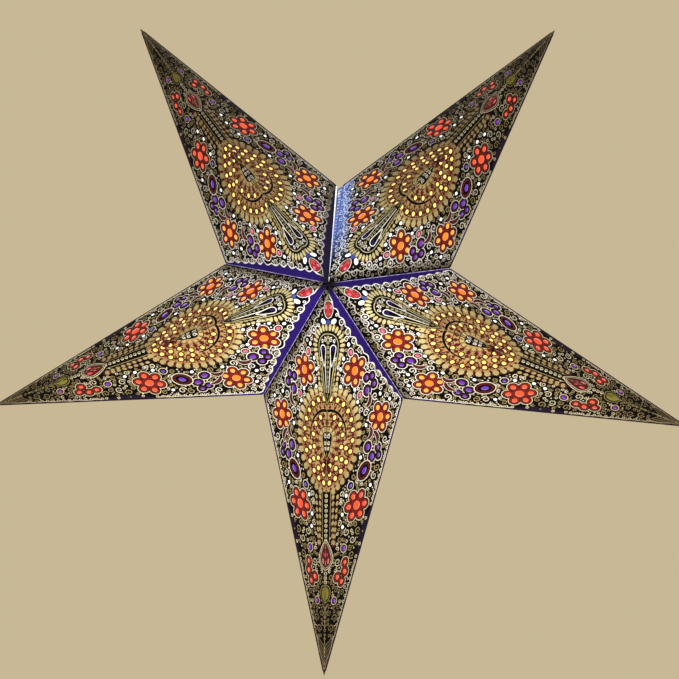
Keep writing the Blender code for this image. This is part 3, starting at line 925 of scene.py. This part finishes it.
def tissue_material(name, colour, strength):
    """Thin dyed paper lit from inside: brightest near the lamp, with its fibres showing as cloudy streaks."""
    material, tree, shader = new_material(name)
    where = object_place(tree)
    fade = grey_ramp(tree, along_ridge(tree, where)[1], [(0.10, 1.0), (0.45, 0.88), (0.95, 0.52)])
    fibres = noise(tree, where, 420.0, 5.0, 0.7)
    base = ramp(tree, fibres, [(0.30, dimmed(colour, 0.72)), (0.62, srgb(*colour))])
    relief = bump(tree, noise(tree, where, 1500.0, 5.0), 0.4, 0.0001)
    lit = {"Emission Color": mix(tree, "MULTIPLY", base, fade), "Emission Strength": strength}
    feed(tree, shader, {"Base Color": base, "Normal": relief, "Roughness": 0.8, **lit})
    return material


# How the inks look: their tones from the apex, at 0, to the tip, at 1, and what differs from plain ink. The
# tones' darkening towards the tip is painted falloff of the lamp inside, and each glow is painted lamplight
# through the card.
INDIGO_STOPS = [(0, (46, 21, 120)), (0.5, (40, 18, 102)), (0.8, (28, 14, 60)), (1, (20, 12, 36))]
GOLD_STOPS = [(0, (222, 210, 166)), (0.22, (194, 176, 122)), (0.5, (172, 150, 98)), (1, (92, 76, 54))]
CREAM_STOPS = [(0, (255, 253, 248)), (0.3, (240, 232, 214)), (0.6, (208, 194, 158)), (1, (118, 102, 78))]
TAN_STOPS = [(0, (212, 186, 120)), (0.45, (188, 146, 90)), (0.75, (152, 130, 86)), (1, (104, 88, 60))]
KHAKI_STOPS = [(0, (240, 228, 168)), (0.25, (222, 206, 142)), (0.5, (186, 166, 108)), (1, (96, 82, 56))]
# The card's inner face: its bluish white by the apex, its fading towards the tip and its glow are painted
# light from the bulb.
INSIDE_STOPS = [(0, (206, 216, 236)), (0.4, (206, 210, 218)), (1, (176, 168, 152))]
INK_LOOKS = {
    "indigo": dict(stops=INDIGO_STOPS, glow=0.04),
    "ground": dict(stops=[(0, (12, 8, 10)), (1, (8, 6, 8))], mottle=0.35, specular=0.05),
    "gold": dict(stops=GOLD_STOPS, glow=0.22, roughness=0.5),
    "cream": dict(stops=CREAM_STOPS, glow=0.32, roughness=0.5, mottle=0.15),
    "tan": dict(stops=TAN_STOPS, glow=0.26),
    "khaki": dict(stops=KHAKI_STOPS, glow=0.24),
    "rose": dict(stops=[(0, (236, 96, 110)), (1, (190, 60, 70))], glow=0.2),
    "night": dict(stops=[(0, (26, 14, 50)), (1, (18, 10, 32))]),
    "crimson": dict(stops=[(0, (206, 36, 52)), (1, (150, 26, 36))], glow=0.25),
    "maroon": dict(stops=[(0, (108, 20, 30)), (1, (72, 18, 22))], glow=0.12),
    "rust": dict(stops=[(0, (152, 44, 22)), (0.5, (138, 36, 20)), (1, (100, 32, 22))], glow=0.2),
    "olive": dict(stops=[(0, (140, 132, 50)), (1, (134, 124, 44))]),
    "blue": dict(stops=[(0, (64, 84, 190)), (1, (60, 60, 160))], glow=0.3),
    "inside": dict(stops=INSIDE_STOPS, mottle=0.12, glow=0.22),
}
SEAM_SHEEN = {"ground": (96, 120, 196), "gold": (136, 160, 222), "cream": (186, 204, 246)}
TISSUE_LOOKS = {
    "orange": ((255, 160, 54), 0.74),
    "amber": ((248, 120, 26), 0.74),
    "yellow": ((255, 222, 108), 0.78),
    "red_orange": ((244, 78, 36), 0.68),
    "red": ((222, 44, 56), 0.5),
    "purple": ((96, 40, 172), 0.5),
    "pink": ((222, 92, 120), 0.5),
    "white": ((255, 252, 244), 0.75),
}

INKS = tuple(INK_LOOKS)
TISSUES = tuple(TISSUE_LOOKS)

# Sheets, tissue and creases on every panel

sheet_inks = [ink_material("ink_" + ink, **INK_LOOKS[ink]) for ink in INKS]
# Painted shade: dimmer copies of every ink for the two upper points, and the seam's inks made from them.
shaded_upper_inks = [ink_material("upper_" + ink, light=UPPER_LIGHT, **INK_LOOKS[ink]) for ink in INKS]
seam_inks = list(shaded_upper_inks)
for ink, sheen in SEAM_SHEEN.items():
    seam_inks[INKS.index(ink)] = ink_material("seam_" + ink, sheen=sheen, light=UPPER_LIGHT, **INK_LOOKS[ink])
tissues = [tissue_material("tissue_" + tissue, *TISSUE_LOOKS[tissue]) for tissue in TISSUES]


def panel_matrix(apex, tip, valley, mirror):
    """Places a flat half point: x along the ridge from the apex, z out of the star."""
    along = (tip - apex).normalized()
    up = valley - apex
    up = (up - along * up.dot(along)).normalized() * mirror
    rows = Matrix((along, up, along.cross(up))).transposed().to_4x4()
    return Matrix.Translation(apex + STAR_CENTRE) @ rows


def put(name, data):
    made = bpy.data.objects.new(name, data)
    bpy.context.scene.collection.objects.link(made)
    return made


def dress(own, material):
    own.link = "OBJECT"
    own.material = material


def piece(name, mesh, body, materials):
    made = put(name, mesh)
    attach(made, body)
    if not mesh.materials:
        for material in materials:
            mesh.materials.append(material)
    for own, material in zip(made.material_slots, materials):
        dress(own, material)
    return made


def crease_mesh(name, start, end, radius, taper=1.0):
    """A round fold of card along a crease, closed at both ends with a small cap. Its start may be thinner."""
    along = (end - start).normalized()
    turn = along.to_track_quat("Z", "Y").to_matrix()
    bevel = along * min(radius, (end - start).length / 3)
    bm = bmesh.new()
    rings = []
    for place, size in (
        (start, CREASE_CAP * taper), (start + bevel, taper), (end - bevel, 1.0), (end, CREASE_CAP),
    ):
        around = [Vector((*about(0, 0, radius * size, a), 0)) for a in round_angles(CREASE_SIDES)]
        rings.append([bm.verts.new(place + turn @ point) for point in around])
    for lower, upper in zip(rings, rings[1:]):
        for i in range(CREASE_SIDES):
            j = (i + 1) % CREASE_SIDES
            bm.faces.new((lower[i], lower[j], upper[j], upper[i])).smooth = True
    bm.faces.new(rings[0][::-1])
    bm.faces.new(rings[-1])
    return made_mesh(name, bm)


@functools.cache
def panel_meshes(mirror, plain_strip):
    """The sheet and the tissue of one hand, made once and then shared by all panels like it."""
    name = f"{'right' if mirror > 0 else 'left'}_hand_{'strip' if plain_strip else 'lace'}"
    rest = draw_print(plain_strip), mirror, inset_outline()
    return sheet_mesh("sheet_" + name, *rest), tissue_mesh("tissue_" + name, *rest)


def crease_material(name, dark, light, glow):
    """A fold of printed card: its ink is cracked and lets the pale core show in specks. Near the axis through
    the apexes it is darkened with painted shade, and with a pale tone and a glow it is a painted line of
    light.
    """
    material, tree, shader = new_material(name)
    where = object_place(tree)
    flecks_and_painted_light = ramp(tree, noise(tree, where, 330.0, 4.0, 0.7), [(0.42, srgb(*dark)), (0.60, srgb(*light))])
    # Painted shade: near the axis through the apexes, where the creases meet, the fold darkens to near black.
    flat = add(tree, "VectorMath", "Vector", {0: where, 1: (1, 0, 1)}, operation="MULTIPLY")
    from_axis = add(tree, "VectorMath", "Value", {0: flat, 1: STAR_CENTRE}, operation="DISTANCE")
    out_of_apex_shade = between(tree, from_axis, APEX_SHADE_START, APEX_SHADE_END)
    flecks_and_painted_light = mix(tree, "MULTIPLY", flecks_and_painted_light, grey_ramp(tree, out_of_apex_shade, [(0.0, 0.02), (1.0, 1.0)]))
    relief = bump(tree, noise(tree, where, 1800.0), 0.3, 0.0001)
    lit = {"Emission Color": flecks_and_painted_light, "Emission Strength": glow, "Roughness": 0.6, "Specular IOR Level": 0.1}
    feed(tree, shader, {"Base Color": flecks_and_painted_light, "Normal": relief, **lit})
    return material


def seam_lip_mesh():
    """The printed lip that reaches from a panel most of the way across the open seam."""
    def width(share):
        return LIP_SHARE * 2 * VALLEY_RADIUS / MM * sin(SEAM_ANGLE / 2) * share

    shares = [LIP_START + (LIP_END - LIP_START) * i / 12 for i in range(13)]
    outline = [by_valley(share, VALLEY_INSET) for share in shares]
    outline += [by_valley(share, -width(share)) for share in reversed(shares)]
    art = Print(False)
    ground = [by_valley(share, depth) for share, depth in ((-0.1, 5), (1.1, 5), (1.1, -9), (-0.1, -9))]
    art.lay(ground, "ground")
    for i in range(LIP_CURLS):
        share = LIP_START + (LIP_END - LIP_START) * (i + 1) / (LIP_CURLS + 1)
        wide = width(share)
        x, y = by_valley(share, -0.5 * wide)
        art.lay(scroll(x, y, 0.47 * wide, 1.7 * i, 1 if i % 2 else -1, 0.32 * wide), "cream")
    return sheet_mesh("seam_lip", art.shapes, 1, outline)


seam_lip = seam_lip_mesh()
# Painted light: a glowing bluish white line where lamplight leaks out through the open seam.
seam_light_look = crease_material("seam_line", (186, 206, 250), (250, 252, 255), 1.1)
ridge_look = crease_material("ridge_fold", (24, 18, 18), (150, 136, 84), 0.05)
# Painted highlight: a pale lavender line with a faint glow along each valley fold.
valley_highlight_look = crease_material("valley_fold", (120, 104, 176), (214, 206, 232), 0.20)
edge_look = crease_material("edge_fold", (18, 14, 18), (66, 56, 50), 0.0)


def fold(name, start, end, body, look, radius, taper=1.0, end_gap=CREASE_END):
    """A crease rod that rides on one of its two panels, because the panels turn about this very line."""
    along = (end - start).normalized()
    near = start + along * CREASE_END + STAR_CENTRE
    mesh = crease_mesh(name, near, end - along * end_gap + STAR_CENTRE, radius, taper)
    piece(name, mesh, body, [look])


def point_angle(index):
    return (index if index <= 2 else index - POINTS) * 2 * HALF_ANGLE


for index, point in enumerate(POINT_NAMES):
    tip = polar(TIP_RADIUS, point_angle(index))
    for depth_name, facing in (("front", 1), ("back", -1)):
        apex = polar(0, 0, facing * HALF_DEPTH)
        for side_name, side in (("left", -1), ("right", 1)):
            valley = polar(VALLEY_RADIUS, point_angle(index) + side * HALF_ANGLE)
            mirror = side * facing
            body = f"{point}_point_{depth_name}_{side_name}"
            beside_seam = (point, side_name) in SEAM_SIDES
            sheet, tissue = panel_meshes(mirror, (mirror > 0) != beside_seam)
            inks = shaded_upper_inks if point.startswith("upper") else sheet_inks
            if beside_seam and mirror > 0:
                inks = seam_inks
            place = panel_matrix(apex, tip, valley, mirror)
            printed = piece(f"{body}_sheet", sheet, body, inks)
            printed.matrix_world = place
            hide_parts(body)
            if inks is seam_inks:
                lip = piece(f"{body}_seam_lip", seam_lip, body, seam_inks)
                lip.matrix_world = place
            paper = piece(f"{body}_tissue", tissue, body, tissues)
            paper.matrix_world = place
        body = f"{point}_point_{depth_name}_right"
        fold(f"{point}_{depth_name}_ridge_fold", apex, tip, body, ridge_look, RIDGE_FOLD_RADIUS)
        if point != "upper_right":
            fold(f"{point}_{depth_name}_valley_fold", apex, valley, body, valley_highlight_look, VALLEY_FOLD_RADIUS)
    for side_name, side in (("left", -1), ("right", 1)):
        valley = polar(VALLEY_RADIUS, point_angle(index) + side * HALF_ANGLE)
        body = f"{point}_point_front_{side_name}"
        edge_name = f"{point}_{side_name}_edge_fold"
        fold(edge_name, valley, tip, body, edge_look, EDGE_FOLD_RADIUS, end_gap=EDGE_FOLD_END)

# A dark cap on the front apex closes the small hole where the panels meet; its near black is painted shade.
front_apex = polar(0, 0, HALF_DEPTH)
dot_end = front_apex + STAR_CENTRE
apex_dot = crease_mesh("apex_dot", dot_end - Vector((0, APEX_DOT_DEPTH, 0)), dot_end, APEX_DOT_RADIUS)
piece("front_apex_dot", apex_dot, "bottom_point_front_left", [edge_look])
seam_corner = polar(VALLEY_RADIUS, -POINTS * HALF_ANGLE)
# The seam's painted light: a glowing rod that tapers towards its start.
fold(
    "seam_lit_edge", front_apex.lerp(seam_corner, SEAM_LINE_START), seam_corner,
    "upper_left_point_front_left", seam_light_look, SEAM_LINE_RADIUS, SEAM_LINE_TAPER,
)


# The plain card, the fastener and the lamp

# For each slot: its dark and light tone, the scale of its mottling, roughness, grain, metal and glow
SOLID_LOOKS = {
    # The plain card's glow is painted lamplight from the bulb; the frosted glass and the light column glow as
    # the bulb itself.
    "plain_card": ((190, 190, 194), (216, 218, 224), 160.0, 0.8, 0.3, 0.0, 0.10),
    "white_plastic": ((222, 220, 214), (240, 239, 235), 60.0, 0.34, 0.05, 0.0, 0.0),
    "brass": ((176, 134, 62), (222, 184, 98), 240.0, 0.30, 0.12, 1.0, 0.0),
    "ceramic": ((226, 220, 208), (244, 240, 232), 90.0, 0.22, 0.08, 0.0, 0.0),
    "nickel_cap": ((168, 166, 162), (206, 204, 200), 260.0, 0.26, 0.10, 1.0, 0.0),
    "frosted_glass": ((246, 244, 236), (255, 254, 250), 120.0, 0.5, 0.1, 0.0, 0.55),
    "light_column": ((255, 238, 200), (255, 250, 232), 200.0, 0.4, 0.05, 0.0, 1.4),
}


def solid_material(name, dark, light, scale, roughness, grain, metallic, glow):
    """A plain stuff with its own mottling and a fine surface grain, and a glow where it has one: the bulb's
    own light, or painted lamplight.
    """
    material, tree, shader = new_material(name)
    where = object_place(tree)
    tone = ramp(tree, noise(tree, where, scale, 4.0), [(0.32, srgb(*dark)), (0.68, srgb(*light))])
    roughest = {"To Min": roughness * 0.8, "To Max": min(1.0, roughness * 1.25)}
    rough = add(tree, "MapRange", "Result", {"Value": noise(tree, where, scale * 3, 4.0), **roughest})
    relief = bump(tree, noise(tree, where, scale * 8, 4.0), grain, 0.0001)
    lit = {"Emission Color": tone, "Emission Strength": glow} if glow else {}
    lit.update({"Roughness": rough, "Metallic": metallic})
    feed(tree, shader, {"Base Color": tone, "Normal": relief, **lit})
    return material


def hook_material():
    """Hook tape: rows of small loops in relief, each pale at its middle and grey at its rim as painted
    highlight and painted shade.
    """
    material, tree, shader = new_material("hook_tape")
    loops = add(tree, "TexVoronoi", "Distance", {"Vector": object_place(tree), "Scale": 1400.0})
    tone = ramp(tree, loops, [(0.1, srgb(236, 234, 228)), (0.6, srgb(176, 172, 164))])
    feed(tree, shader, {"Base Color": tone, "Normal": bump(tree, loops, 0.9, 0.0003), "Roughness": 0.85})
    return material


slot_looks = {slot: solid_material(slot, *look) for slot, look in SOLID_LOOKS.items()}
slot_looks["hook_and_loop"] = hook_material()
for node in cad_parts.values():
    for slot in node.material_slots:
        if slot.material.name in slot_looks:
            dress(slot, slot_looks[slot.material.name])


# Backdrop, floor, lamps and camera

WALL_COLOUR = (*srgb(200, 184, 150), 1)
STAGE_SIZE = 9.0
BACKDROP_PLACE = (0, 1.6, 0.4)
FLOOR_PLACE = (0, 0, -2.4)
FLOOR_GLOW = 0.55
SEEN_WAYS = ("Is Camera Ray", "Is Glossy Ray", "Is Transmission Ray")
# Soft lamps that all face the star: the place, the size and the power in watts of each
STUDIO_LAMPS = {
    "key": ((-0.7, -1.6, -1.0), 1.5, 35),
    "fill": ((1.0, -1.6, -0.5), 1.6, 29),
    "back": ((0.4, 1.5, -0.7), 1.6, 34),
    "top": ((0.0, -0.5, 1.5), 1.4, 9),
}
# The bulb's light: small lamps about the star's centre
BULB_LAMPS = {"bulb_low": (0, 0, -0.048), "bulb_front": (0, -0.036, -0.01), "bulb_rear": (0, 0.036, -0.01)}
BULB_WATTS = 0.07
BULB_COLOUR = (0.92, 0.96, 1.0)
BULB_RADIUS = 0.008
ROOM_COLOUR = (0.90, 0.93, 1.0, 1)
ROOM_STRENGTH = 0.22
CAMERA_DISTANCE = 0.8
CAMERA_TURNS = (radians(-7.92), radians(1.81), radians(-3.78))
FOCAL_PIXELS = 897.3
CENTRE_PIXEL = (336.0, 300.2)
IMAGE_SIDE = 679
SENSOR = 36.0


def show_instead(tree, lit, shown, output):
    """Whatever looks straight at the surface sees one shader, and all other light meets the lit one."""
    path = tree.nodes.new("ShaderNodeLightPath")
    seen = path.outputs[SEEN_WAYS[0]]
    for way in SEEN_WAYS[1:]:
        seen = add(tree, "Math", 0, {0: seen, 1: path.outputs[way]}, operation="MAXIMUM")
    chosen = add(tree, "MixShader", 0, {"Fac": seen, 1: lit, 2: shown})
    feed(tree, tree.nodes[output], {"Surface": chosen})


def stage_material(name, glow, painted):
    """The wall's paint as a glow of its own, in place of the lit paint or over it."""
    material, tree, shader = new_material(name)
    feed(tree, shader, {"Base Color": WALL_COLOUR, "Roughness": 0.9})
    paint = shader.outputs[0]
    shown = add(tree, "Emission", 0, {"Color": WALL_COLOUR, "Strength": glow})
    if painted:
        shown = add(tree, "AddShader", 0, {0: paint, 1: shown})
    show_instead(tree, paint, shown, "Material Output")
    return material


def stage_plane(name, centre, turn, material):
    half = STAGE_SIZE / 2
    corners = [(-half, -half, 0), (half, -half, 0), (half, half, 0), (-half, half, 0)]
    mesh = bpy.data.meshes.new(name)
    mesh.from_pydata(corners, [], [(0, 1, 2, 3)])
    mesh.materials.append(material)
    plane = put(name, mesh)
    plane.location = centre
    plane.rotation_euler = turn


stage_plane("backdrop", BACKDROP_PLACE, (pi / 2, 0, 0), stage_material("backdrop", 1.0, False))
stage_plane("floor", FLOOR_PLACE, (0, 0, 0), stage_material("floor", FLOOR_GLOW, True))

for name, (place, size, watts) in STUDIO_LAMPS.items():
    lamp = put(name, bpy.data.lights.new(name, "AREA"))
    lamp.data.size = size
    lamp.data.energy = watts
    lamp.location = place
    lamp.rotation_euler = (STAR_CENTRE - Vector(place)).to_track_quat("-Z", "Y").to_euler()
for name, place in BULB_LAMPS.items():
    lamp = put(name, bpy.data.lights.new(name, "POINT"))
    lamp.data.energy = BULB_WATTS
    lamp.data.color = BULB_COLOUR
    lamp.data.shadow_soft_size = BULB_RADIUS
    lamp.location = STAR_CENTRE + Vector(place)

world = bpy.data.worlds.new("room")
world.use_nodes = True
room = world.node_tree
feed(room, room.nodes["Background"], {"Color": ROOM_COLOUR, "Strength": ROOM_STRENGTH})
shown = add(room, "Background", 0, {"Color": WALL_COLOUR})
show_instead(room, room.nodes["Background"].outputs[0], shown, "World Output")
bpy.context.scene.world = world
bpy.context.scene.view_settings.view_transform = "Standard"

turn_x, turn_y, turn_z = (Matrix.Rotation(turn, 3, axis) for turn, axis in zip(CAMERA_TURNS, "XYZ"))
to_star = (turn_y @ turn_x @ turn_z).transposed()
facing = Matrix.Rotation(pi / 2, 3, "X")
camera = put("camera", bpy.data.cameras.new("camera"))
camera.data.sensor_width = SENSOR
camera.data.lens = FOCAL_PIXELS / IMAGE_SIDE * SENSOR
camera.data.shift_x = (IMAGE_SIDE / 2 - CENTRE_PIXEL[0]) / IMAGE_SIDE
camera.data.shift_y = -(IMAGE_SIDE / 2 - CENTRE_PIXEL[1]) / IMAGE_SIDE
camera_place = STAR_CENTRE + to_star @ Vector((0, -CAMERA_DISTANCE, 0))
camera.matrix_world = Matrix.Translation(camera_place) @ (to_star @ facing).to_4x4()
bpy.context.scene.camera = camera
